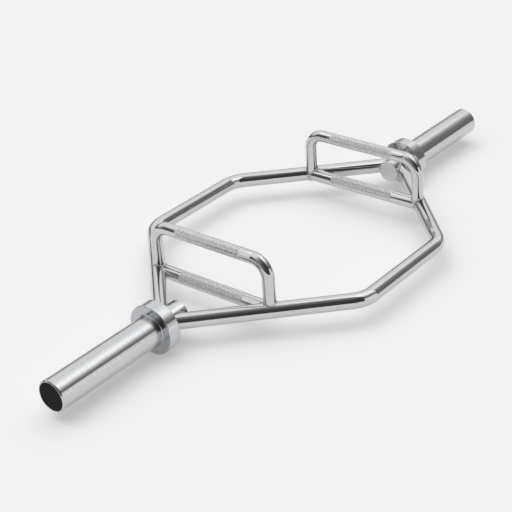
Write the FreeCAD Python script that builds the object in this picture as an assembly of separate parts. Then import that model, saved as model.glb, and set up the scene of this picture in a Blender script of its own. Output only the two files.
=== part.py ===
import FreeCAD, Part
import math
import os

from FreeCAD import Vector

# Hex trap bar. X runs along the sleeves, left at -X, Y from front to rear, Z up.
# The origin is on the floor under the middle of the bar, and the collars stand on the floor.
# All lengths are in millimetres.

# Hexagon frame, on the centrelines of its two bent bars
frame_bar_diameter = 25.0
frame_side_length = 210.0      # front side, from corner point to corner point
frame_width = 429.0            # from the front side to the rear side
frame_bend_radius = 50.0

# Hubs, the thick stubs that the frame bars are welded to
hub_gap = 566.0                # between the flat inner ends of the two hubs
hub_length = 40.5              # from the inner end to the shoulder
hub_edge_chamfer = 1.0
bar_setback = 1.5              # from the hub's shoulder to the edge of the bar on it

# Handles
handle_spacing = 408.0         # from the left handles' centreline to the right ones'
low_handle_diameter = 22.0
raised_handle_diameter = 20.0
raised_handle_height = 80.0    # centre of the crossbar above the plane of the frame
raised_bend_radius = 28.0
raised_foot_inset = 6.0        # foot's centre inside the frame bar's centreline, along Y
smooth_grip_end = 19.0         # smooth length between the knurl and the bend
knurl_rise = 0.2               # how far rolling the knurl lifts the surface

# Weld beads
weld_size = 2.5
weld_shoulder_gap = 0.8        # keeps the beads clear of the thrust washer

# Sleeves and collars
sleeve_diameter = 50.0
sleeve_wall = 4.0
sleeve_load_length = 200.0     # from the collar's face to the sleeve's end
sleeve_end_chamfer = 1.8
sleeve_bore_chamfer = 0.4
collar_diameter = 80.0
collar_width = 22.5
collar_edge_radius = 1.5
collar_seat_step = 1.0         # the collar sits on a seat turned this much deeper
root_land = 0.6                # rim of the sleeve's root, let into the collar flush with its face
root_radius = 2.0              # hollow round from that rim down to the sleeve

# Axles, bushings and what keeps the sleeves on
hub_shoulder = 3.0             # how far the hub stands out from the axle
axle_setback = 28.0            # from the sleeve's end back to the axle's end
axle_tail_length = 4.0         # from the retaining ring to the axle's end
axle_end_chamfer = 1.5
bushing_wall = 5.0
bushing_length = 36.0
bushing_edge_chamfer = 0.5
running_clearance = 0.05       # between the axle and the bushings, on the radius
end_play = 0.3                 # between the turning sleeve and each thrust washer
inner_washer_thickness = 1.5
inner_washer_lip = 2.0         # how far the washer stands out from the hub
outer_washer_thickness = 2.0
outer_washer_gap = 0.8         # from the washer to the sleeve's bore
ring_thickness = 1.6
ring_groove_depth = 1.0
ring_bore_gap = 0.9            # from the retaining ring to the sleeve's bore
ring_opening_angle = 50.0      # degrees between the ring's two eyes
ring_eye_share = 0.45          # hole in each eye, as a share of the ring's width

# End caps
cap_recess = 0.8               # face of the cap behind the sleeve's end
cap_thickness = 4.0
cap_seat_step = 1.3            # the cap's disc sits in a counterbore this much wider than the bore
cap_plug_length = 14.0
cap_plug_wall = 3.0
cap_face_chamfer = 0.6

# One overrun for every cutting tool, and the shortest straight run between two arcs
cut_overrun = 60.0
least_run = 0.001

# Sizes that follow from the ones above
axis_height = collar_diameter / 2
bar_radius = frame_bar_diameter / 2
low_radius = low_handle_diameter / 2
raised_radius = raised_handle_diameter / 2
sleeve_radius = sleeve_diameter / 2
bore_radius = sleeve_radius - sleeve_wall
bushing_bore_radius = bore_radius - bushing_wall
axle_radius = bushing_bore_radius - running_clearance
hub_radius = axle_radius + hub_shoulder
collar_seat_radius = sleeve_radius - collar_seat_step
rim_radius = sleeve_radius + root_radius
ring_inner_radius = axle_radius - ring_groove_depth
ring_outer_radius = bore_radius - ring_bore_gap
cap_radius = bore_radius + cap_seat_step

# Stations along the axis, counted outwards from the middle of the bar
hub_inner_end = hub_gap / 2
shoulder = hub_inner_end + hub_length
inner_washer_face = shoulder + inner_washer_thickness
sleeve_inner_end = inner_washer_face + end_play
collar_face = sleeve_inner_end + collar_width
collar_step = collar_face - root_land
sleeve_end = collar_face + sleeve_load_length
axle_end = sleeve_end - axle_setback
ring_outer_face = axle_end - axle_tail_length
ring_inner_face = ring_outer_face - ring_thickness
outer_washer_face = ring_inner_face - outer_washer_thickness
outer_bushing_end = outer_washer_face - end_play
cap_face = sleeve_end - cap_recess
cap_seat = cap_face - cap_thickness

# The bars' legs run from the corners to the hubs. Each leg's outer edge meets the hub at bar_setback
# from the shoulder, which fixes the point where its centreline would meet the axis.
corner_station = frame_side_length / 2
corner_offset = frame_width / 2
edge_from_corner = Vector(shoulder - bar_setback - corner_station, hub_radius - corner_offset, 0)
edge_bearing = math.atan2(edge_from_corner.y, edge_from_corner.x)
leg_run_per_offset = math.tan(edge_bearing + math.acos(bar_radius / edge_from_corner.Length))
leg_apex = corner_station + corner_offset * leg_run_per_offset


def leg_offset(station):
    """Distance of a leg's centreline from the axis, in the plane of the frame."""
    return (leg_apex - station) / leg_run_per_offset


handle_station = handle_spacing / 2
low_handle_reach = leg_offset(handle_station)
foot_offset = low_handle_reach - raised_foot_inset
half_grip = foot_offset - raised_bend_radius - smooth_grip_end

LEFT, RIGHT = -1, 1
FRONT, REAR = -1, 1
X_AXIS = Vector(1, 0, 0)
Y_AXIS = Vector(0, 1, 0)
Z_AXIS = Vector(0, 0, 1)
FULL_TURN = 360


def point(station, offset, rise):
    """A point of the bar: along the axis, across it, and above the plane of the frame."""
    return Vector(station, offset, axis_height + rise)


def rounded_edges(points, radii, closed):
    """Straight runs between the points, joined at each corner by a tangent arc of its radius."""
    corners = []
    for i, (corner, radius) in enumerate(zip(points, radii)):
        if not radius:
            corners.append((corner, None, corner))
            continue
        back = (points[i - 1] - corner).normalize()
        ahead = (points[(i + 1) % len(points)] - corner).normalize()
        half_angle = back.getAngle(ahead) / 2
        reach = radius / math.tan(half_angle)
        middle = (back + ahead).normalize() * (radius / math.sin(half_angle) - radius)
        corners.append((corner + back * reach, corner + middle, corner + ahead * reach))
    edges = []
    for i, (start, middle, end) in enumerate(corners):
        if middle is not None:
            edges.append(Part.Arc(start, middle, end).toShape())
        next_start = corners[(i + 1) % len(corners)][0]
        is_run = closed or i + 1 < len(corners)
        if is_run and not end.isEqual(next_start, least_run):
            edges.append(Part.LineSegment(end, next_start).toShape())
    return edges


def turned(side, outline):
    """Turns an outline of (station, radius, corner radius) about the sleeve axis on one side."""
    points = [point(side * station, 0, radius) for station, radius, _ in outline]
    edges = rounded_edges(points, [corner for _, _, corner in outline], closed=True)
    return Part.Face(Part.Wire(edges)).revolve(point(0, 0, 0), X_AXIS, FULL_TURN)


def sharp(*outline):
    """An outline with no rounded corners."""
    return [(station, radius, 0) for station, radius in outline]


def bent_bar(points, bend_radius, diameter):
    """A round bar along straight runs that are joined by bends of one radius."""
    radii = [0] + [bend_radius] * (len(points) - 2) + [0]
    path = Part.Wire(rounded_edges(points, radii, closed=False))
    section = Part.Circle(points[0], points[1] - points[0], diameter / 2).toShape()
    return path.makePipe(Part.Face(Part.Wire(section)))


def largest(shape):
    """The main solid that a cut leaves, without the offcuts on its far side."""
    return max(shape.Solids, key=lambda solid: solid.Volume)


def leg_cylinder(side, depth, radius, length):
    """A cylinder on a leg's centreline that starts where the centreline meets the axis."""
    direction = Vector(-side * leg_run_per_offset, depth, 0)
    return Part.makeCylinder(radius, length, point(side * leg_apex, 0, 0), direction)


def hub_cylinder(side, start, end, radius):
    """A cylinder on the sleeve axis between two stations of one side."""
    return Part.makeCylinder(radius, end - start, point(side * start, 0, 0), X_AXIS * side)


# The frame

def frame_bar(depth):
    """One bent bar from hub to hub, its ends coped to the round of the hubs."""
    points = [
        point(-leg_apex, 0, 0),
        point(-corner_station, depth * corner_offset, 0),
        point(corner_station, depth * corner_offset, 0),
        point(leg_apex, 0, 0),
    ]
    bar = bent_bar(points, frame_bend_radius, frame_bar_diameter)
    for side in (LEFT, RIGHT):
        bar = bar.cut(hub_cylinder(side, hub_inner_end - cut_overrun, shoulder + cut_overrun, hub_radius))
    return largest(bar)


def hub_axle(side):
    """Hub and axle, turned from one bar, with the groove for the retaining ring."""
    return turned(side, sharp(
        (hub_inner_end, 0),
        (hub_inner_end, hub_radius - hub_edge_chamfer),
        (hub_inner_end + hub_edge_chamfer, hub_radius),
        (shoulder, hub_radius),
        (shoulder, axle_radius),
        (ring_inner_face, axle_radius),
        (ring_inner_face, ring_inner_radius),
        (ring_outer_face, ring_inner_radius),
        (ring_outer_face, axle_radius),
        (axle_end - axle_end_chamfer, axle_radius),
        (axle_end, axle_radius - axle_end_chamfer),
        (axle_end, 0),
    ))


def grip(side, rise, radius):
    """The knurled stretch of a handle, as the plain round that its ridges lie in."""
    start = point(side * handle_station, -half_grip, rise)
    return Part.makeCylinder(radius + knurl_rise, 2 * half_grip, start, Y_AXIS)


def low_handle(side, bars):
    """Straight handle between the legs, its ends coped to them."""
    start = point(side * handle_station, -low_handle_reach, 0)
    rod = Part.makeCylinder(low_radius, 2 * low_handle_reach, start, Y_AXIS)
    return largest(rod.fuse(grip(side, 0, low_radius)).removeSplitter().cut(bars))


def raised_handle(side, carriers):
    """U-shaped handle whose feet are coped to the legs and to the low handle's ends."""
    station = side * handle_station
    points = [
        point(station, -foot_offset, 0),
        point(station, -foot_offset, raised_handle_height),
        point(station, foot_offset, raised_handle_height),
        point(station, foot_offset, 0),
    ]
    rod = bent_bar(points, raised_bend_radius, raised_handle_diameter)
    rod = rod.fuse(grip(side, raised_handle_height, raised_radius)).removeSplitter()
    return largest(rod.cut(carriers))


# The weld beads: each fills the corner between two pieces, one weld_size out from both

def hub_welds(side, bars, axle):
    """Beads where the two frame bars meet a hub."""
    fat_hub = hub_cylinder(side, hub_inner_end, shoulder - weld_shoulder_gap, hub_radius + weld_size)
    beads = []
    for depth in (FRONT, REAR):
        fat_leg = leg_cylinder(side, depth, bar_radius + weld_size, 2 * (hub_radius + frame_bar_diameter))
        beads.append(largest(fat_leg.common(fat_hub).cut(bars + [axle])))
    return Part.makeCompound(beads)


def fat_joint(side, depth):
    """A leg and the low handle's end on it, both thickened by the weld's size."""
    leg = leg_cylinder(side, depth, bar_radius + weld_size, math.hypot(leg_apex, corner_offset))
    start = point(side * handle_station, 0, 0)
    handle = Part.makeCylinder(low_radius + weld_size, low_handle_reach, start, Y_AXIS * depth)
    return leg, handle


def low_handle_welds(side, carriers):
    """Beads where a low handle's ends meet the legs."""
    beads = []
    for depth in (FRONT, REAR):
        fat_leg, fat_handle = fat_joint(side, depth)
        beads.append(largest(fat_leg.common(fat_handle).cut(carriers)))
    return Part.makeCompound(beads)


def raised_handle_welds(side, carriers):
    """Beads round the feet of a raised handle."""
    beads = []
    for depth in (FRONT, REAR):
        fat_leg, fat_handle = fat_joint(side, depth)
        start = point(side * handle_station, depth * foot_offset, low_radius / 2)
        fat_foot = Part.makeCylinder(raised_radius + weld_size, bar_radius + weld_size, start, Z_AXIS)
        beads.append(largest(fat_foot.common(fat_leg.fuse(fat_handle)).cut(carriers)))
    return Part.makeCompound(beads)


# The sleeves, which turn on the axles

def sleeve(side):
    """Tube that the plates slide on: a seat and rim for the collar, a chamfered end, a seat for the cap."""
    return turned(side, [
        (sleeve_inner_end, bore_radius, 0),
        (sleeve_inner_end, collar_seat_radius, 0),
        (collar_step, collar_seat_radius, 0),
        (collar_step, rim_radius, 0),
        (collar_face, rim_radius, 0),
        (collar_face, sleeve_radius, root_radius),
        (sleeve_end - sleeve_end_chamfer, sleeve_radius, 0),
        (sleeve_end, sleeve_radius - sleeve_end_chamfer, 0),
        (sleeve_end, cap_radius + sleeve_bore_chamfer, 0),
        (sleeve_end - sleeve_bore_chamfer, cap_radius, 0),
        (cap_seat, cap_radius, 0),
        (cap_seat, bore_radius, 0),
    ])


def collar(side):
    """Ring that stops the plates, on the sleeve's seat and against its rim, with rounded outer edges."""
    collar_radius = collar_diameter / 2
    return turned(side, [
        (sleeve_inner_end, collar_seat_radius, 0),
        (sleeve_inner_end, collar_radius, collar_edge_radius),
        (collar_face, collar_radius, collar_edge_radius),
        (collar_face, rim_radius, 0),
        (collar_step, rim_radius, 0),
        (collar_step, collar_seat_radius, 0),
    ])


def bushing(side, start):
    """Bronze bush pressed into the sleeve, with its edges broken."""
    end = start + bushing_length
    return turned(side, sharp(
        (start, bushing_bore_radius + bushing_edge_chamfer),
        (start, bore_radius - bushing_edge_chamfer),
        (start + bushing_edge_chamfer, bore_radius),
        (end - bushing_edge_chamfer, bore_radius),
        (end, bore_radius - bushing_edge_chamfer),
        (end, bushing_bore_radius + bushing_edge_chamfer),
        (end - bushing_edge_chamfer, bushing_bore_radius),
        (start + bushing_edge_chamfer, bushing_bore_radius),
    ))


def washer(side, start, thickness, radius):
    """Flat thrust washer on the axle."""
    end = start + thickness
    return turned(side, sharp((start, axle_radius), (start, radius), (end, radius), (end, axle_radius)))


def retaining_ring(side):
    """Open spring ring in the axle's groove, with an eye at each end of the opening."""
    width = ring_outer_radius - ring_inner_radius
    middle_radius = ring_inner_radius + width / 2
    ring = hub_cylinder(side, ring_inner_face, ring_outer_face, ring_outer_radius)
    ring = ring.cut(hub_cylinder(side, ring_inner_face, ring_outer_face, ring_inner_radius))
    half_opening = math.radians(ring_opening_angle / 2)
    reach = ring_outer_radius / math.cos(half_opening)
    wedge = [
        point(side * ring_inner_face, 0, 0),
        point(side * ring_inner_face, -reach * math.sin(half_opening), reach * math.cos(half_opening)),
        point(side * ring_inner_face, reach * math.sin(half_opening), reach * math.cos(half_opening)),
    ]
    opening = Part.Face(Part.makePolygon(wedge + wedge[:1])).extrude(X_AXIS * side * ring_thickness)
    ring = ring.cut(opening)
    for end in (FRONT, REAR):
        centre = point(
            side * ring_inner_face,
            end * middle_radius * math.sin(half_opening),
            middle_radius * math.cos(half_opening),
        )
        ring = ring.fuse(Part.makeCylinder(width / 2, ring_thickness, centre, X_AXIS * side))
        ring = ring.cut(Part.makeCylinder(width / 2 * ring_eye_share, ring_thickness, centre, X_AXIS * side))
    return largest(ring)


def end_cap(side):
    """Black cap: a disc in the sleeve's end on a hollow plug that presses into the bore."""
    plug_end = cap_face - cap_plug_length
    plug_bore_radius = bore_radius - cap_plug_wall
    return turned(side, sharp(
        (cap_face, 0),
        (cap_face, cap_radius - cap_face_chamfer),
        (cap_face - cap_face_chamfer, cap_radius),
        (cap_seat, cap_radius),
        (cap_seat, bore_radius),
        (plug_end + cap_face_chamfer, bore_radius),
        (plug_end, bore_radius - cap_face_chamfer),
        (plug_end, plug_bore_radius),
        (cap_seat, plug_bore_radius),
        (cap_seat, 0),
    ))


# The whole bar

bars = [frame_bar(FRONT), frame_bar(REAR)]
parts = {"front_frame_bar": bars[0], "rear_frame_bar": bars[1]}
for name, side in (("left", LEFT), ("right", RIGHT)):
    axle = hub_axle(side)
    low = low_handle(side, bars)
    raised = raised_handle(side, bars + [low])
    low_welds = low_handle_welds(side, bars + [low, raised])
    parts[name + "_hub_axle"] = axle
    parts[name + "_low_handle"] = low
    parts[name + "_raised_handle"] = raised
    parts[name + "_hub_welds"] = hub_welds(side, bars, axle)
    parts[name + "_low_handle_welds"] = low_welds
    parts[name + "_raised_handle_welds"] = raised_handle_welds(side, bars + [low, raised, low_welds])
    parts[name + "_sleeve"] = sleeve(side)
    parts[name + "_collar"] = collar(side)
    parts[name + "_inner_bushing"] = bushing(side, sleeve_inner_end)
    parts[name + "_outer_bushing"] = bushing(side, outer_bushing_end - bushing_length)
    parts[name + "_inner_thrust_washer"] = washer(
        side, shoulder, inner_washer_thickness, hub_radius + inner_washer_lip)
    parts[name + "_outer_thrust_washer"] = washer(
        side, outer_washer_face, outer_washer_thickness, bore_radius - outer_washer_gap)
    parts[name + "_retaining_ring"] = retaining_ring(side)
    parts[name + "_end_cap"] = end_cap(side)

os.makedirs("parts", exist_ok=True)
for name, shape in parts.items():
    shape.exportStep("parts/" + name + ".step")
    print(name, "solids", len(shape.Solids), "volume", round(shape.Volume), "valid", shape.isValid())
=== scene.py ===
# %% [markdown]
# # A hex trap bar
# A trap bar is a lifting bar with a hexagon in the middle, which the lifter stands inside. Two bent
# round bars run from hub to hub, a low and a raised handle sit on each side, and the weight plates
# slide onto a sleeve that turns on the axle of each hub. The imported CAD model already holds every
# piece in its place and at its true size. This script gives the pieces that show a smoother skin,
# finer detail and their finishes, and photographs the bar in a small studio.

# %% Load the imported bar
import math

import bmesh
import bpy
from mathutils import Matrix, Vector


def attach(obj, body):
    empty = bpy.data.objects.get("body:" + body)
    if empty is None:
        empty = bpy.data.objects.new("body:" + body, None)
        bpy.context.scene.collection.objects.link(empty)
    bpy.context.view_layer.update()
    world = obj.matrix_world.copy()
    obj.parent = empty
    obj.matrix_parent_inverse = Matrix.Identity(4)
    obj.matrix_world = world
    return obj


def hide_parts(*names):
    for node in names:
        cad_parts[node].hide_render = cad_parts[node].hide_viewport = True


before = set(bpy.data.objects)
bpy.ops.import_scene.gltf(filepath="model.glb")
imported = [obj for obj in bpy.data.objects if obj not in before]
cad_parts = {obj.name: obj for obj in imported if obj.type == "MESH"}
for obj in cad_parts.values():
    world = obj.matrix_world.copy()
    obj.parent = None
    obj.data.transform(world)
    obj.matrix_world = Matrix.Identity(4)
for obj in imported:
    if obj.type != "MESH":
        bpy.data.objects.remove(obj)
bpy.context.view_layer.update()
print("CAD nodes:", len(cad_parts))

# %% [markdown]
# ## The camera
# The photograph looks down on the bar from its front left, with a long lens, and the picture is
# turned a little. A camera could be placed by eye and nudged, but the angle, the distance and the
# lens were worked out from edges measured in the picture, so they are written here as they came
# out. The camera is first pointed back along its line of sight, then rolled, then slid off centre.

# %% Place the camera
axis_height = 0.040                     # the sleeves' axis above the floor
azimuth, elevation, roll = (math.radians(angle) for angle in (-49.58, 29.08, -3.9))
sight = Vector((math.sin(azimuth) * math.cos(elevation), -math.cos(azimuth) * math.cos(elevation),
                math.sin(elevation)))
facing = sight.to_track_quat("Z", "Y").to_matrix().to_4x4() @ Matrix.Rotation(roll, 4, "Z")
lens = bpy.data.cameras.new("camera")
lens.sensor_width = 36.0
lens.lens = 89.57
slide_right, slide_up, distance = -0.06126, -0.03442, 2.0975
camera = bpy.data.objects.new("camera", lens)
camera.matrix_world = (Matrix.Translation((0, 0, axis_height)) @ facing
                       @ Matrix.Translation((slide_right, slide_up, distance)))
bpy.context.scene.collection.objects.link(camera)
bpy.context.scene.camera = camera
bpy.context.scene.view_settings.view_transform = "Standard"
print("camera at", tuple(round(v, 3) for v in camera.matrix_world.translation))

# %% [markdown]
# ## Formulas for shader nodes
# Every finish below is a small formula: a colour or a roughness that changes over the surface. The
# nodes could be laid out by hand in the editor. In a script it reads better to wrap an output in a
# class, so that `0.05 + 0.06 * haze` adds the Math nodes by itself, and one method adds any other
# kind of node.

# %% Wrap a shader output
class Channel:
    """One output of a node tree. Arithmetic on channels adds Math nodes to the tree."""

    def __init__(self, tree, socket=None):
        self.tree, self.socket = tree, socket

    def feed(self, node, inputs):
        """Sets or links the named inputs of a node."""
        for name, value in inputs.items():
            if isinstance(value, Channel):
                self.tree.links.new(value.socket, node.inputs[name])
            else:
                node.inputs[name].default_value = value

    def node(self, kind, inputs=None, output=0, stops=None, **settings):
        """Adds a node: its settings first, then a ramp's stops, then its inputs. Returns one output."""
        made = self.tree.nodes.new("ShaderNode" + kind)
        for name, value in settings.items():
            setattr(made, name, value)
        for place, grey in stops or ():
            ramp = made.color_ramp.elements
            stop = ramp.new(place) if 0 < place < 1 else ramp[-int(place)]
            stop.color = (grey, grey, grey, 1)
        self.feed(made, inputs or {})
        return Channel(self.tree, made.outputs[output])

    def other(self, output):
        """Another output of the same node."""
        return Channel(self.tree, self.socket.node.outputs[output])

    def maths(self, operation, first, second):
        return self.node("Math", {0: first, 1: second}, operation=operation)

    def __add__(self, value):
        return self.maths("ADD", self, value)

    def __radd__(self, value):
        return self.maths("ADD", value, self)

    def __sub__(self, value):
        return self.maths("SUBTRACT", self, value)

    def __rsub__(self, value):
        return self.maths("SUBTRACT", value, self)

    def __mul__(self, value):
        return self.maths("MULTIPLY", self, value)

    def __rmul__(self, value):
        return self.maths("MULTIPLY", value, self)

    def __pow__(self, value):
        return self.maths("POWER", self, value)


print("shader formulas ready")

# %% [markdown]
# ## The studio
# Chrome has no colour of its own: it shows the room. The photograph was taken on a pale floor, with
# white above and behind. The dark lines along each bar are the dark parts of that room: the side
# behind the camera, the left wall up to the white ceiling, and a low strip all round where the floor
# ends. Walls and black flags could be built as objects. Here the world itself has those tones, as
# ramps over the direction of a ray, and the darkest of them counts. Only rays that leave a shiny
# surface meet them. The camera sees one pale tone. Every other ray meets soft light that gathers
# overhead, as under one large diffuser: it lights the floor evenly, and the shadows stay close to
# the bars.

# %% Light the room
studio = bpy.data.worlds.new("studio")
bpy.context.scene.world = studio
studio.use_nodes = True
studio.cycles.sampling_method = "NONE"
sky = Channel(studio.node_tree)
right = sky.node("SeparateXYZ", {0: sky.node("TexCoord", output="Generated")}, "X")
rear, up = right.other("Y"), right.other("Z")
room = sky.node("ValToRGB", {0: 0.5 - 0.5 * rear - 0.075 * right}, stops=[
    (0.0, 0.96), (0.32, 0.96), (0.40, 1.14), (0.455, 1.14), (0.48, 0.95), (0.53, 0.68), (0.582, 0.44),
    (0.63, 0.28), (0.67, 0.22), (0.725, 0.17), (0.78, 0.12), (0.83, 0.06), (1.0, 0.06)])
room = sky.maths("MAXIMUM", room, 0.03 + 0.22 * right)
left_wall = sky.node("ValToRGB", {0: right * -1}, stops=[
    (0.0, 2.0), (0.28, 2.0), (0.30, 1.0), (0.41, 0.70), (0.50, 0.35), (0.60, 0.15), (0.80, 0.08),
    (0.83, 0.08), (0.90, 0.40), (1.0, 0.40)])
ceiling = sky.node("ValToRGB", {0: up}, stops=[(0.0, 0.0), (0.60, 0.0), (0.74, 1.0), (1.0, 1.0)])
left_wall = sky.maths("MAXIMUM", left_wall, ceiling)
low_strip = sky.node("ValToRGB", {0: up}, stops=[
    (0.0, 0.15), (0.14, 0.18), (0.26, 0.62), (0.38, 0.96), (0.46, 2.0), (1.0, 2.0)])
tones = sky.maths("MINIMUM", sky.maths("MINIMUM", room, left_wall), low_strip)
rays = sky.node("LightPath", output="Is Camera Ray")
shiny = rays.other("Is Glossy Ray") + rays.other("Is Transmission Ray")
ambient = 0.94                          # the soft light's share on the floor, the sun adds the rest
lean_back, gathering = 0.12, 3          # how far the light leans to the rear, and how closely it gathers
from_above = sky.maths("MAXIMUM", math.sqrt(1 - lean_back ** 2) * up + lean_back * rear, 0)
soft_light = ambient * (gathering + 2) / 2 * from_above ** gathering    # the floor as under an even sky
backdrop = 0.879
strength = backdrop * rays + shiny * tones + (1 - rays - shiny) * soft_light
sky.feed(studio.node_tree.nodes["Background"], {"Color": (1, 1, 1, 1), "Strength": strength})
print("world light", ambient)

# %% [markdown]
# The floor is a matte sheet with a third of its tone as glow, the way a pale floor under a retouched
# picture looks: the shadows keep their shape but not their depth. They fall a little towards the
# camera and to the right, so one weak, broad sun stands high behind the bar. A lamp of a softbox's
# size would do the same, but a sun lights the floor evenly from edge to edge. The lamps that show in
# the chrome are glowing sheets that only reflections can see. A tall softbox on the right gives the
# near sleeve a long highlight that fades downwards, a low white card stands in front of it, and a
# softbox behind and above puts the white on top of the handles' smooth ends. Two white flats stand by
# the rear side, where only the front ends of the handles see them, and keep those ends light.

# %% Floor, sun, softboxes, card and flats
def stage_sheet(name, place, surface):
    """A flat sheet of the studio, which is not part of the bar. surface makes its shader."""
    sheet = bmesh.new()
    bmesh.ops.create_grid(sheet, x_segments=1, y_segments=1, size=0.5, matrix=place)
    data = bpy.data.meshes.new(name)
    sheet.to_mesh(data)
    sheet.free()
    material = bpy.data.materials.new(name)
    material.use_nodes = True
    paint = Channel(material.node_tree)
    paint.feed(material.node_tree.nodes["Material Output"], {"Surface": surface(paint)})
    data.materials.append(material)
    flat = bpy.data.objects.new(name, data)
    bpy.context.scene.collection.objects.link(flat)
    return flat


def matte_white(paint):
    """The pale floor, lit by the studio and partly glowing by itself."""
    tone, glow_share = (0.887, 0.885, 0.885, 1), 0.35
    lit = paint.node("BsdfDiffuse", {"Color": tone})
    own = paint.node("Emission", {"Color": tone})
    return paint.node("MixShader", {0: glow_share, 1: lit, 2: own})


def glow(level, bottom, top, stops):
    """A surface that glows, and fades into the room behind it along its height."""
    def surface(paint):
        height = paint.node("SeparateXYZ", {0: paint.node("TexCoord", output="Object")}, "Z")
        share = paint.node("ValToRGB", {0: (height - bottom) * (1 / (top - bottom))}, stops=stops)
        clear = paint.node("BsdfTransparent")
        light = paint.node("Emission", {"Color": (1, 1, 1, 1), "Strength": level})
        return paint.node("MixShader", {0: share, 1: clear, 2: light})
    return surface


def reflected_only(sheet):
    """Hides a sheet from everything but reflections."""
    sheet.visible_camera = sheet.visible_diffuse = sheet.visible_shadow = False


floor_size = 40
stage_sheet("floor", Matrix.Scale(floor_size, 4), matte_white)

sun_data = bpy.data.lights.new("sun", "SUN")
sun_data.angle = math.radians(20)
sun_from = Vector((-0.10, 0.42, 1.0)).normalized()
sun_data.energy = (1 - ambient) * math.pi / sun_from.z
sun = bpy.data.objects.new("sun", sun_data)
sun.rotation_euler = sun_from.to_track_quat("Z", "Y").to_euler()
sun.visible_glossy = False
bpy.context.scene.collection.objects.link(sun)

# Each sheet: its middle, its lean about X, its width and length, its glow, and where it fades
sheets = {
    "softbox": ((0.55, -0.66, 1.39), 30, (1.05, 1.90), 1.45, [
        (0.0, 0.0), (0.12, 0.15), (0.23, 0.30), (0.33, 0.52), (0.42, 0.79), (0.53, 1.0),
        (0.75, 1.0), (1.0, 0.0)]),
    "card": ((0.25, -1.14, 0.33), 90, (0.80, 0.65), 1.05, [
        (0.0, 1.0), (0.65, 0.85), (0.98, 0.0), (1.0, 0.0)]),
    "overhead": ((-0.1, 1.1, 1.75), -32, (0.9, 0.9), 1.45, [
        (0.0, 0.0), (0.2, 1.0), (0.8, 1.0), (1.0, 0.0)]),
    "left_flat": ((-0.525, 0.2, 0.34), 90, (0.23, 0.36), 0.96, [(0.0, 1.0), (1.0, 1.0)]),
    "right_flat": ((-0.117, 0.2, 0.34), 90, (0.23, 0.36), 0.96, [(0.0, 1.0), (1.0, 1.0)]),
}
for name, (middle, lean, (width, length), level, fades) in sheets.items():
    place = (Matrix.Translation(middle) @ Matrix.Rotation(math.radians(lean), 4, "X")
             @ Matrix.Diagonal((width, length, 1, 1)))
    rise = length / 2 * abs(math.sin(math.radians(lean)))
    reflected_only(stage_sheet(name, place, glow(level, middle[2] - rise, middle[2] + rise, fades)))
print("sun", round(sun_data.energy, 2), "and", len(sheets), "sheets")

# %% [markdown]
# ## Bright chrome
# The bent bars, the hubs and the smooth ends of the handles are polished steel with a mirror plating.
# A perfect mirror looks unreal, so the finish has what plating has: a faint haze of handling that
# dulls it in patches, and a slight waviness of the metal under it. All of it is read from the place
# on the piece itself, so it stays put when the bar turns.

# %% Bright chrome
def start_finish(name):
    """An empty finish: the material, a way to add nodes, and the place on the piece."""
    material = bpy.data.materials.new(name)
    material.use_nodes = True
    paint = Channel(material.node_tree)
    return material, paint, paint.node("TexCoord", output="Object")


def cover(material, paint, **inputs):
    """Feeds the shader of a finish. Underscores in the names stand for spaces."""
    shader = material.node_tree.nodes["Principled BSDF"]
    paint.feed(shader, {name.replace("_", " "): value for name, value in inputs.items()})


def noise(paint, place, scale, detail, stretch=(1, 1, 1)):
    """Soft noise of the given scale per metre, drawn out along the axes that stretch makes small."""
    placed = paint.node("Mapping", {"Vector": place, "Scale": stretch})
    return paint.node("TexNoise", {"Vector": placed, "Scale": scale, "Detail": detail})


def between(paint, share, dark, light):
    """A colour between two colours."""
    return paint.node("Mix", {0: share, 6: (*dark, 1), 7: (*light, 1)}, 2, data_type="RGBA")


bright_chrome, paint, place = start_finish("bright_chrome")
haze = noise(paint, place, scale=30, detail=5)
wave = noise(paint, place, scale=70, detail=1)
cover(
    bright_chrome, paint,
    Base_Color=between(paint, haze, (0.58, 0.59, 0.60), (0.67, 0.675, 0.68)),
    Metallic=1.0,
    Roughness=0.03 + 0.07 * haze,
    Normal=paint.node("Bump", {"Strength": 0.06, "Distance": 0.0004, "Height": wave}),
)
print("finish", bright_chrome.name)

# %% [markdown]
# ## Satin chrome
# The sleeves and collars were turned on a lathe and plated without a mirror polish. The tool leaves
# fine rings round the axis, and plates that slide on and off leave faint streaks along it. The rings
# are one-dimensional noise along the axis. On the collar's face, where the tool moved towards the
# middle, they follow the distance from the axis, so both are added up. The sides of the rings lean
# back and forth, which smears reflections along the sleeve but leaves them sharp round it. Rougher
# metal would blur both ways, so the normal itself is tilted, across the rings. The collar's face and
# the sleeve's root, in the inside corner, are painted greyer and bluer. This painted shade stands for
# the dark reflections there, and the metal is a little rougher there too.

# %% Satin chrome
def turned_rings(paint, place, pitch):
    """Fine lathe rings: noise along the axis plus noise along the radius."""
    along = paint.node("SeparateXYZ", {0: place}, "X")
    across, up = along.other("Y"), along.other("Z") - axis_height
    radius = (across * across + up * up) ** 0.5
    inputs = {"W": along + radius, "Scale": 1 / pitch, "Detail": 2.0}
    return paint.node("TexNoise", inputs, noise_dimensions="1D")


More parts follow.
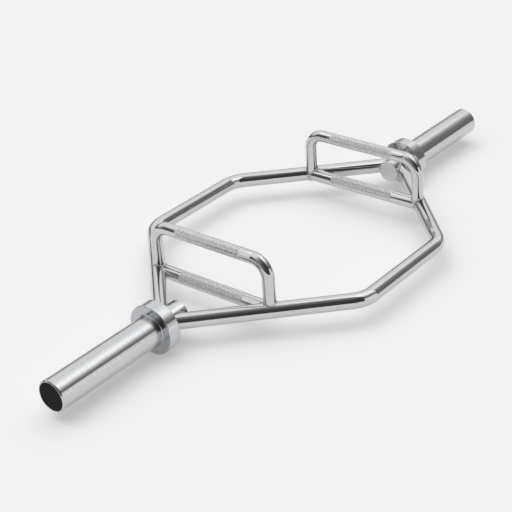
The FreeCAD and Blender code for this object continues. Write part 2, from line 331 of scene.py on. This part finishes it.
def ringed_normal(paint, place, pitch, tilt):
    """The surface's normal, leaning back and forth across fine lathe rings."""
    from_axis = paint.node("VectorMath", {0: place, 1: (0, 0, axis_height)}, operation="SUBTRACT")
    along_ring = paint.node("VectorMath", {0: (1, 0, 0), 1: from_axis}, operation="CROSS_PRODUCT")
    along_ring = paint.node("VectorMath", {0: along_ring}, operation="NORMALIZE")
    normal = place.other("Normal")
    across = paint.node("VectorMath", {0: normal, 1: along_ring}, operation="CROSS_PRODUCT")
    slope = tilt * (turned_rings(paint, place, pitch) - 0.5)
    lean = paint.node("VectorMath", {0: across, "Scale": slope}, operation="SCALE")
    leaning = paint.node("VectorMath", {0: normal, 1: lean}, operation="ADD")
    return paint.node("VectorTransform", {0: leaning}, vector_type="NORMAL",
                      convert_from="OBJECT", convert_to="WORLD")


satin_chrome, paint, place = start_finish("satin_chrome")
rings = turned_rings(paint, place, pitch=0.0006)
streaks = noise(paint, place, scale=1, detail=3, stretch=(9, 700, 700))
haze = noise(paint, place, scale=24, detail=4)
collar_step, painted_shade_reach = 0.3472, 0.004       # the rim's seat in the collar, and how far the painted shade goes
station = paint.node("Math", {0: paint.node("SeparateXYZ", {0: place}, "X")}, operation="ABSOLUTE")
# painted shade: over the collar's face and the sleeve's root the colour turns greyer and bluer
corner = paint.node("ValToRGB", {0: (station - collar_step) * (1 / painted_shade_reach)}, stops=[
    (0.0, 0.0), (0.02, 0.0), (0.05, 1.0), (0.5, 1.0), (0.8, 0.0), (1.0, 0.0)])
plated = between(paint, 0.5 * haze + 0.5 * streaks, (0.56, 0.57, 0.58), (0.68, 0.685, 0.69))
painted_corner_shade = (0.24, 0.25, 0.29, 1)
cover(
    satin_chrome, paint,
    Base_Color=paint.node("Mix", {0: 0.32 * corner, 6: plated, 7: painted_corner_shade}, 2, data_type="RGBA"),
    Metallic=1.0,
    Roughness=0.03 + 0.03 * rings + 0.03 * streaks + 0.03 * haze + 0.04 * corner,
    Normal=ringed_normal(paint, place, pitch=0.00025, tilt=0.55),
)
print("finish", satin_chrome.name)

# %% [markdown]
# ## Knurled chrome
# The grips are rolled with a diamond knurl and then plated. The ridges themselves are modelled, so
# this finish only adds colour over them. The tips are painted brighter, a painted sheen, and the
# grooves darker, a painted shade. The tone is worn unevenly where hands have rubbed it, and the
# grooves are duller too. Each point of the grip carries its height as an attribute called knurl, and
# the finish reads that.

# %% Knurled chrome
knurled_chrome, paint, place = start_finish("knurled_chrome")
tip = paint.node("Attribute", output="Fac", attribute_name="knurl")
wear = noise(paint, place, scale=330, detail=3)
# painted sheen on the tips and painted shade in the grooves, scaled by uneven wear
painted_sheen_and_wear = (0.1 + 0.8 * tip) * (2.4 * wear - 0.2)
cover(
    knurled_chrome, paint,
    Base_Color=between(paint, painted_sheen_and_wear, (0.44, 0.445, 0.45), (0.98, 0.982, 0.985)),
    Metallic=1.0,
    Roughness=0.26 - 0.10 * tip + 0.08 * wear,
)
print("finish", knurled_chrome.name)

# %% [markdown]
# ## Weld beads under plating
# The bar was welded before it was plated, so the beads are chrome too, but the plating is thinner
# and rougher over them, with small dark pits.

# %% Weld chrome
weld_chrome, paint, place = start_finish("weld_chrome")
grain = noise(paint, place, scale=420, detail=4)
pits = paint.node("ValToRGB", {0: noise(paint, place, scale=900, detail=2)}, stops=[
    (0.0, 0.0), (0.34, 0.0), (0.46, 1.0), (1.0, 1.0)])
cover(
    weld_chrome, paint,
    Base_Color=between(paint, pits * (0.6 + 0.4 * grain), (0.30, 0.295, 0.285), (0.64, 0.64, 0.64)),
    Metallic=1.0,
    Roughness=0.34 - 0.20 * pits + 0.08 * grain,
    Normal=paint.node("Bump", {"Strength": 0.25, "Distance": 0.0002, "Height": grain}),
)
print("finish", weld_chrome.name)

# %% [markdown]
# ## Black cap, ground steel and bronze
# The sleeve's end is closed with a black moulded cap, whose face is bare here. Moulded plastic has a
# fine grain and a sheen that varies a little. Inside the sleeves, the thrust washers and spring rings
# are ground steel and the bushes are turned bronze. Little of them shows, but they still get the
# marks of the tool that made them.

# %% Cap plastic, hard steel, bushing bronze
cap_plastic, paint, place = start_finish("cap_plastic")
grain = noise(paint, place, scale=2600, detail=2)
cloud = noise(paint, place, scale=90, detail=3)
cover(
    cap_plastic, paint,
    Base_Color=between(paint, cloud, (0.003, 0.003, 0.0032), (0.013, 0.013, 0.0133)),
    Specular_IOR_Level=0.06,
    Roughness=0.36 + 0.10 * cloud + 0.06 * grain,
    Normal=paint.node("Bump", {"Strength": 0.18, "Distance": 0.00005, "Height": grain}),
)

hard_steel, paint, place = start_finish("hard_steel")
rings = turned_rings(paint, place, pitch=0.0004)
stain = noise(paint, place, scale=160, detail=4)
cover(
    hard_steel, paint,
    Base_Color=between(paint, 0.6 * rings + 0.4 * stain, (0.34, 0.34, 0.345), (0.56, 0.56, 0.565)),
    Metallic=1.0,
    Roughness=0.22 + 0.14 * rings + 0.08 * stain,
    Normal=paint.node("Bump", {"Strength": 0.12, "Distance": 0.00004, "Height": rings}),
)

bushing_bronze, paint, place = start_finish("bushing_bronze")
rings = turned_rings(paint, place, pitch=0.0007)
stain = noise(paint, place, scale=140, detail=4)
cover(
    bushing_bronze, paint,
    Base_Color=between(paint, 0.5 * rings + 0.5 * stain, (0.38, 0.22, 0.09), (0.62, 0.42, 0.20)),
    Metallic=1.0,
    Roughness=0.26 + 0.12 * rings + 0.10 * stain,
    Normal=paint.node("Bump", {"Strength": 0.12, "Distance": 0.00005, "Height": rings}),
)
print("finishes", cap_plastic.name, hard_steel.name, bushing_bronze.name)

# %% [markdown]
# ## From a bmesh to a piece of the bar
# Each new piece stands for a CAD node and moves with the same body. Faces are smooth, and an edge
# where the surface really turns is kept sharp. Small roundings would still tilt the normals of the
# long faces beside them, and a mirror shows that at once, so weighted normals follow the larger face.
# That way flats stay flat and long rounds stay true in the reflections.

# %% Hand a bmesh over
SIDES = (("left", -1), ("right", 1))
ENDS = (("front", -1), ("rear", 1))
tolerance = 1e-6
sharp_angle = math.radians(12)


def hand_over(name, mesh, finishes, body, node):
    """Cleans up a bmesh and makes it the piece that stands for a CAD node."""
    bmesh.ops.remove_doubles(mesh, verts=mesh.verts, dist=tolerance)
    bmesh.ops.recalc_face_normals(mesh, faces=mesh.faces)
    triangles = sum(len(face.verts) - 2 for face in mesh.faces)
    data = bpy.data.meshes.new(name)
    mesh.to_mesh(data)
    mesh.free()
    data.shade_smooth()
    data.set_sharp_from_angle(angle=sharp_angle)
    for finish in finishes:
        data.materials.append(finish)
    piece = bpy.data.objects.new(name, data)
    bpy.context.scene.collection.objects.link(piece)
    true_flats = piece.modifiers.new("true_flats", "WEIGHTED_NORMAL")
    true_flats.keep_sharp, true_flats.weight = True, 100
    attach(piece, body)
    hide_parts(node)
    print(name, "triangles", triangles)


# %% [markdown]
# ## Turned pieces
# Sleeves, collars, caps and hubs all come off a lathe, so each is half of its section, spun once
# round the axis. A cylinder with bevels would do for some of them, but the section also gives the
# bores, steps and grooves. Corners are rounded on the section before it is spun, by bevelling
# the points of the outline, which costs far less than bevelling the finished rings.

# %% Spin an outline
def turned(side, outline, roundings, closed):
    """Spins an outline of (station, radius) points about the sleeve axis, with some points rounded."""
    mesh = bmesh.new()
    corners = [mesh.verts.new((side * station, 0, axis_height + radius)) for station, radius in outline]
    followers = corners[1:] + corners[:1] if closed else corners[1:]
    for start, end in zip(corners, followers):
        mesh.edges.new((start, end))
    for index, size in roundings.items():
        bmesh.ops.bevel(mesh, geom=[corners[index]], offset=size, offset_type="OFFSET", segments=5,
                        profile=0.5, affect="VERTICES", material=-1)
    bmesh.ops.spin(mesh, geom=mesh.verts[:] + mesh.edges[:], cent=(0, 0, axis_height), axis=(1, 0, 0),
                   angle=2 * math.pi, steps=128, use_merge=True)
    return mesh


sleeve_start, collar_face, sleeve_end = 0.3253, 0.3478, 0.5478
sleeve_radius, bore_radius, seat_radius, rim_radius, collar_radius = 0.025, 0.021, 0.024, 0.027, 0.040
cap_seat, cap_radius, end_chamfer, mouth_chamfer = 0.5430, 0.0223, 0.0018, 0.0004
root_round, end_round, rim_round, mouth_round, collar_round = 0.00199, 0.0004, 0.0002, 0.0001, 0.0015
for name, side in SIDES:
    sleeve = turned(side, [
        (sleeve_start, bore_radius), (sleeve_start, seat_radius), (collar_step, seat_radius),
        (collar_step, rim_radius), (collar_face, rim_radius), (collar_face, sleeve_radius),
        (sleeve_end - end_chamfer, sleeve_radius), (sleeve_end, sleeve_radius - end_chamfer),
        (sleeve_end, cap_radius + mouth_chamfer), (sleeve_end - mouth_chamfer, cap_radius),
        (cap_seat, cap_radius), (cap_seat, bore_radius),
    ], {5: root_round, 6: end_round, 7: rim_round, 8: mouth_round}, closed=True)
    hand_over(name + "_turned_sleeve", sleeve, [satin_chrome],
              name + "_rotating_sleeve", name + "_sleeve")
    collar = turned(side, [
        (sleeve_start, seat_radius), (sleeve_start, collar_radius), (collar_face, collar_radius),
        (collar_face, rim_radius), (collar_step, rim_radius), (collar_step, seat_radius),
    ], {1: collar_round, 2: collar_round}, closed=True)
    hand_over(name + "_stop_collar", collar, [satin_chrome],
              name + "_rotating_sleeve", name + "_collar")

# %% [markdown]
# The cap that closes a sleeve is a black moulding: a disc on a short hollow plug. The disc sits in a
# counterbore just behind the sleeve's chamfered end, so a thin bright ring stays round the black.

# %% Caps
cap_face, plug_end, plug_bore, cap_chamfer = 0.5470, 0.5330, 0.018, 0.0006
face_round, side_round = 0.0004, 0.0003
for name, side in SIDES:
    cap = turned(side, [
        (cap_face, 0), (cap_face, cap_radius - cap_chamfer), (cap_face - cap_chamfer, cap_radius),
        (cap_seat, cap_radius), (cap_seat, bore_radius),
        (plug_end + cap_chamfer, bore_radius), (plug_end, bore_radius - cap_chamfer),
        (plug_end, plug_bore), (cap_seat, plug_bore), (cap_seat, 0),
    ], {1: face_round, 2: side_round}, closed=False)
    hand_over(name + "_sleeve_cap", cap, [cap_plastic],
              name + "_rotating_sleeve", name + "_end_cap")

# %% [markdown]
# A hub and its axle are turned from one bar. Only the thick end shows, between the two welded bars,
# with a flat inner face and a broken edge. The axle runs on inside the sleeve to the groove of its
# spring ring, and is modelled too, because a sleeve can be taken off in a view.

# %% Hubs and axles
hub_inner_end, shoulder, axle_end = 0.2830, 0.3235, 0.5198
hub_radius, axle_radius, groove_radius = 0.01895, 0.01595, 0.01495
groove_start, groove_end = 0.5142, 0.5158
hub_chamfer, hub_round, axle_chamfer = 0.001, 0.0003, 0.0015
for name, side in SIDES:
    hub = turned(side, [
        (hub_inner_end, 0), (hub_inner_end, hub_radius - hub_chamfer),
        (hub_inner_end + hub_chamfer, hub_radius), (shoulder, hub_radius), (shoulder, axle_radius),
        (groove_start, axle_radius), (groove_start, groove_radius), (groove_end, groove_radius),
        (groove_end, axle_radius), (axle_end - axle_chamfer, axle_radius),
        (axle_end, axle_radius - axle_chamfer), (axle_end, 0),
    ], {1: hub_round, 2: hub_round, 3: hub_round}, closed=False)
    hand_over(name + "_hub_and_axle", hub, [bright_chrome], "frame", name + "_hub_axle")

# %% [markdown]
# ## Bent bars
# The hexagon is two round bars, each bent twice and welded to both hubs. A bevelled curve could
# follow the corners, but a bender makes true arcs between straight runs, so a ring of edges is drawn
# the same way: extruded along each run and spun round the centre of each bend. The ends stop inside
# the hubs, where they don't show.

# %% Draw a ring along runs and bends
degrees_per_step, least_steps = 3, 6


def draw_straight(mesh, ring, step):
    """Extrudes a ring of edges along a straight run and returns the new ring."""
    drawn = bmesh.ops.extrude_edge_only(mesh, edges=ring)["geom"]
    bmesh.ops.translate(mesh, vec=step, verts=[v for v in drawn if isinstance(v, bmesh.types.BMVert)])
    return [edge for edge in drawn if isinstance(edge, bmesh.types.BMEdge) and edge.is_boundary]


def draw_bend(mesh, ring, centre, axis, angle):
    """Spins a ring of edges round a bend and returns the new ring."""
    corners = list(dict.fromkeys(corner for edge in ring for corner in edge.verts))
    steps = max(least_steps, round(math.degrees(angle) / degrees_per_step))
    spun = bmesh.ops.spin(mesh, geom=corners + ring, cent=centre, axis=axis, angle=angle, steps=steps)
    return [edge for edge in spun["geom_last"] if isinstance(edge, bmesh.types.BMEdge)]


def bent_bar(points, radius, bend_radius, segments):
    """A closed round bar along straight runs between points, with a bend at each point on the way."""
    mesh = bmesh.new()
    heading = (points[1] - points[0]).normalized()
    facing = heading.to_track_quat("Z", "Y").to_matrix().to_4x4()
    circle = bmesh.ops.create_circle(mesh, segments=segments, radius=radius,
                                     matrix=Matrix.Translation(points[0]) @ facing)
    ring = list(dict.fromkeys(edge for corner in circle["verts"] for edge in corner.link_edges))
    place = points[0]
    for corner, following in zip(points[1:], points[2:] + [None]):
        reach = 0
        if following is not None:
            turn = (following - corner).normalized()
            angle = heading.angle(turn)
            reach = bend_radius * math.tan(angle / 2)
        ring = draw_straight(mesh, ring, corner - heading * reach - place)
        if following is not None:
            axis = heading.cross(turn).normalized()
            centre = corner - heading * reach + axis.cross(heading) * bend_radius
            ring = draw_bend(mesh, ring, centre, axis, angle)
            place, heading = corner + turn * reach, turn
    bmesh.ops.holes_fill(mesh, edges=[edge for edge in mesh.edges if edge.is_boundary], sides=0)
    return mesh


corner_station, corner_offset, leg_apex, leg_inset = 0.105, 0.2145, 0.32348, 0.0125
bar_radius, corner_bend, bar_segments = 0.0125, 0.050, 72
leg_run, leg_rise = Vector((leg_apex - corner_station, corner_offset)).normalized()
for name, end in ENDS:
    hub_point = Vector((leg_apex - leg_run * leg_inset, end * leg_rise * leg_inset, axis_height))
    corner = Vector((corner_station, end * corner_offset, axis_height))
    flip = Vector((-1, 1, 1))
    path = [hub_point * flip, corner * flip, corner, hub_point]
    bar = bent_bar(path, bar_radius, corner_bend, bar_segments)
    hand_over(name + "_bent_bar", bar, [bright_chrome], "frame", name + "_frame_bar")

# %% [markdown]
# ## Handles with a real knurl
# A knurl is a grid of small pyramids that a pair of wheels presses into the bar. A bump texture
# would vanish in the outline and in close views, so the pyramids are modelled. The stretch is cut
# into a fine grid, every second point of it is a tip and the others lie in the grooves, and each
# square is split from groove to groove, which leaves four flat sides on every tip. The rows fade out
# at both ends of the grip.

# %% Cut a knurl
handle_station, half_grip = 0.204, 0.06429
knurl_columns, knurl_pitch, knurl_rise, knurl_depth, fading_rows = 48, 0.0014, 0.0002, 0.00032, 3


def cut_knurl(mesh, station, height):
    """Cuts the straight stretch of a handle into a diamond knurl, between the two ends of the grip."""
    axis = Vector((station, 0, height))
    rows = 2 * round(half_grip / knurl_pitch)
    for end in (-half_grip, half_grip):
        bmesh.ops.bisect_plane(mesh, geom=mesh.verts[:] + mesh.edges[:] + mesh.faces[:], dist=tolerance,
                               plane_co=(0, end, 0), plane_no=(0, 1, 0))
    sides = [edge for edge in mesh.edges
             if edge.calc_length() > 2 * half_grip - tolerance
             and all(abs(v.co.y) < half_grip + tolerance for v in edge.verts)]
    bmesh.ops.subdivide_edges(mesh, edges=sides, cuts=rows - 1, use_grid_fill=True)
    height_of = mesh.verts.layers.float.new("knurl")
    grip = [v for v in mesh.verts if abs(v.co.y) < half_grip + tolerance]
    step = 2 * math.pi / knurl_columns
    grooves = []
    for v in grip:
        out = Vector((v.co.x - axis.x, 0, v.co.z - axis.z)).normalized()
        column = round(math.atan2(out.z, out.x) / step)
        row = round((v.co.y + half_grip) * rows / (2 * half_grip))
        fade = min(1, min(row, rows - row) / fading_rows)
        is_tip = (column + row) % 2
        v.co += out * fade * (knurl_rise if is_tip else knurl_rise - knurl_depth)
        v[height_of] = is_tip
        if not is_tip:
            grooves.append(v)
    bmesh.ops.connect_verts(mesh, verts=grooves)
    for face in mesh.faces:
        face.material_index = int(abs(face.calc_center_median().y) < half_grip)
    return rows


low_reach, low_radius = 0.11729, 0.011
for name, side in SIDES:
    ends = [Vector((side * handle_station, end * low_reach, axis_height)) for _, end in ENDS]
    handle = bent_bar(ends, low_radius, 0, knurl_columns)
    rows = cut_knurl(handle, side * handle_station, axis_height)
    hand_over(name + "_low_grip", handle, [bright_chrome, knurled_chrome],
              "frame", name + "_low_handle")
print("knurl of", knurl_columns, "columns and", rows, "rows")

# %% [markdown]
# The raised handle is the same bar bent into a U. Its feet stand on the low handle's ends, and the
# knurl lies on the crossbar.

# %% Raised handles
foot_offset, raised_height, raised_radius, raised_bend = 0.11129, 0.080, 0.010, 0.028
for name, side in SIDES:
    station = side * handle_station
    path = [Vector((station, y, axis_height + z)) for y, z in (
        (-foot_offset, 0), (-foot_offset, raised_height), (foot_offset, raised_height), (foot_offset, 0))]
    handle = bent_bar(path, raised_radius, raised_bend, knurl_columns)
    cut_knurl(handle, station, axis_height + raised_height)
    hand_over(name + "_raised_grip", handle, [bright_chrome, knurled_chrome],
              "frame", name + "_raised_handle")

# %% [markdown]
# ## Weld beads
# Where two bars meet, the welder runs a bead round the seam, and each pulse of the torch leaves a
# ripple. The seam of two round bars has a simple formula: go round one bar, and at each angle slide
# along it until its surface meets the other bar. A bevelled curve through those points makes the
# bead, and a thickness that rises and falls along it makes the ripples.

# %% Beads along the seams
hub_bead, low_bead, foot_bead, shoulder_gap = 0.0022, 0.0020, 0.0018, 0.0008
ripple_points, ripple_share, thinnest_share = 4, 0.16, 0.1


def bead(loops, size):
    """Rippled beads along closed loops of (place, share of the size)."""
    curve = bpy.data.curves.new("bead", "CURVE")
    curve.dimensions = "3D"
    curve.bevel_depth = size
    curve.bevel_resolution = 2
    for loop in loops:
        spline = curve.splines.new("POLY")
        spline.points.add(len(loop) - 1)
        spline.use_cyclic_u = True
        for i, (place, share) in enumerate(loop):
            spline.points[i].co = (*place, 1)
            dip = (i % ripple_points) / (ripple_points - 1)
            spline.points[i].radius = share * (1 - ripple_share * dip)
    holder = bpy.data.objects.new("bead", curve)
    drawn = bpy.data.meshes.new_from_object(holder)
    mesh = bmesh.new()
    mesh.from_mesh(drawn)
    bpy.data.objects.remove(holder)
    bpy.data.meshes.remove(drawn)
    return mesh


def round_the_clock(count):
    """Angles in even steps, once round a bar."""
    return [2 * math.pi * i / count for i in range(count)]


def hub_seam(side, end):
    """The seam of a bent bar on a hub. The bead thins out towards the hub's shoulder."""
    loop = []
    for angle in round_the_clock(count=144):
        out, up = bar_radius * math.cos(angle), bar_radius * math.sin(angle)
        slide = (math.sqrt(hub_radius ** 2 - up ** 2) - out * leg_run) / leg_rise
        x, y = leg_apex - slide * leg_run + out * leg_rise, slide * leg_rise + out * leg_run
        room = (shoulder - shoulder_gap - x) / hub_bead
        loop.append((Vector((side * x, end * y, axis_height + up)), max(thinnest_share, min(1, room))))
    return loop


def low_seam(side, end):
    """The seam of a low handle on a bent bar."""
    loop = []
    for angle in round_the_clock(count=120):
        x, up = handle_station + low_radius * math.cos(angle), low_radius * math.sin(angle)
        y = ((leg_apex - x) * leg_rise - math.sqrt(bar_radius ** 2 - up ** 2)) / leg_run
        loop.append((Vector((side * x, end * y, axis_height + up)), 1))
    return loop


def foot_seam(side, end):
    """The seam of a raised handle's foot on the low handle and the bent bar."""
    loop = []
    for angle in round_the_clock(count=108):
        x = handle_station + raised_radius * math.cos(angle)
        y = foot_offset + raised_radius * math.sin(angle)
        off_leg = (x - leg_apex) * leg_rise + y * leg_run
        up = math.sqrt(max(low_radius ** 2 - (x - handle_station) ** 2, bar_radius ** 2 - off_leg ** 2))
        loop.append((Vector((side * x, end * y, axis_height + up)), 1))
    return loop


for name, side in SIDES:
    for piece, node, size, seam in (
        ("_hub_beads", "_hub_welds", hub_bead, hub_seam),
        ("_low_grip_beads", "_low_handle_welds", low_bead, low_seam),
        ("_raised_grip_beads", "_raised_handle_welds", foot_bead, foot_seam),
    ):
        beads = bead([seam(side, end) for _, end in ENDS], size)
        hand_over(name + piece, beads, [weld_chrome], "frame", name + node)

# %% [markdown]
# ## What stays inside
# The bushes, washers and spring rings keep their CAD shapes, which are right as they are, and only
# get their finishes.

# %% Finish the inner pieces
inner_finishes = {"thrust_washer": hard_steel, "retaining_ring": hard_steel, "bushing": bushing_bronze}
for node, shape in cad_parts.items():
    for ending, finish in inner_finishes.items():
        if node.endswith(ending):
            for slot in shape.material_slots:
                slot.material = finish
            print(node, "in", finish.name)
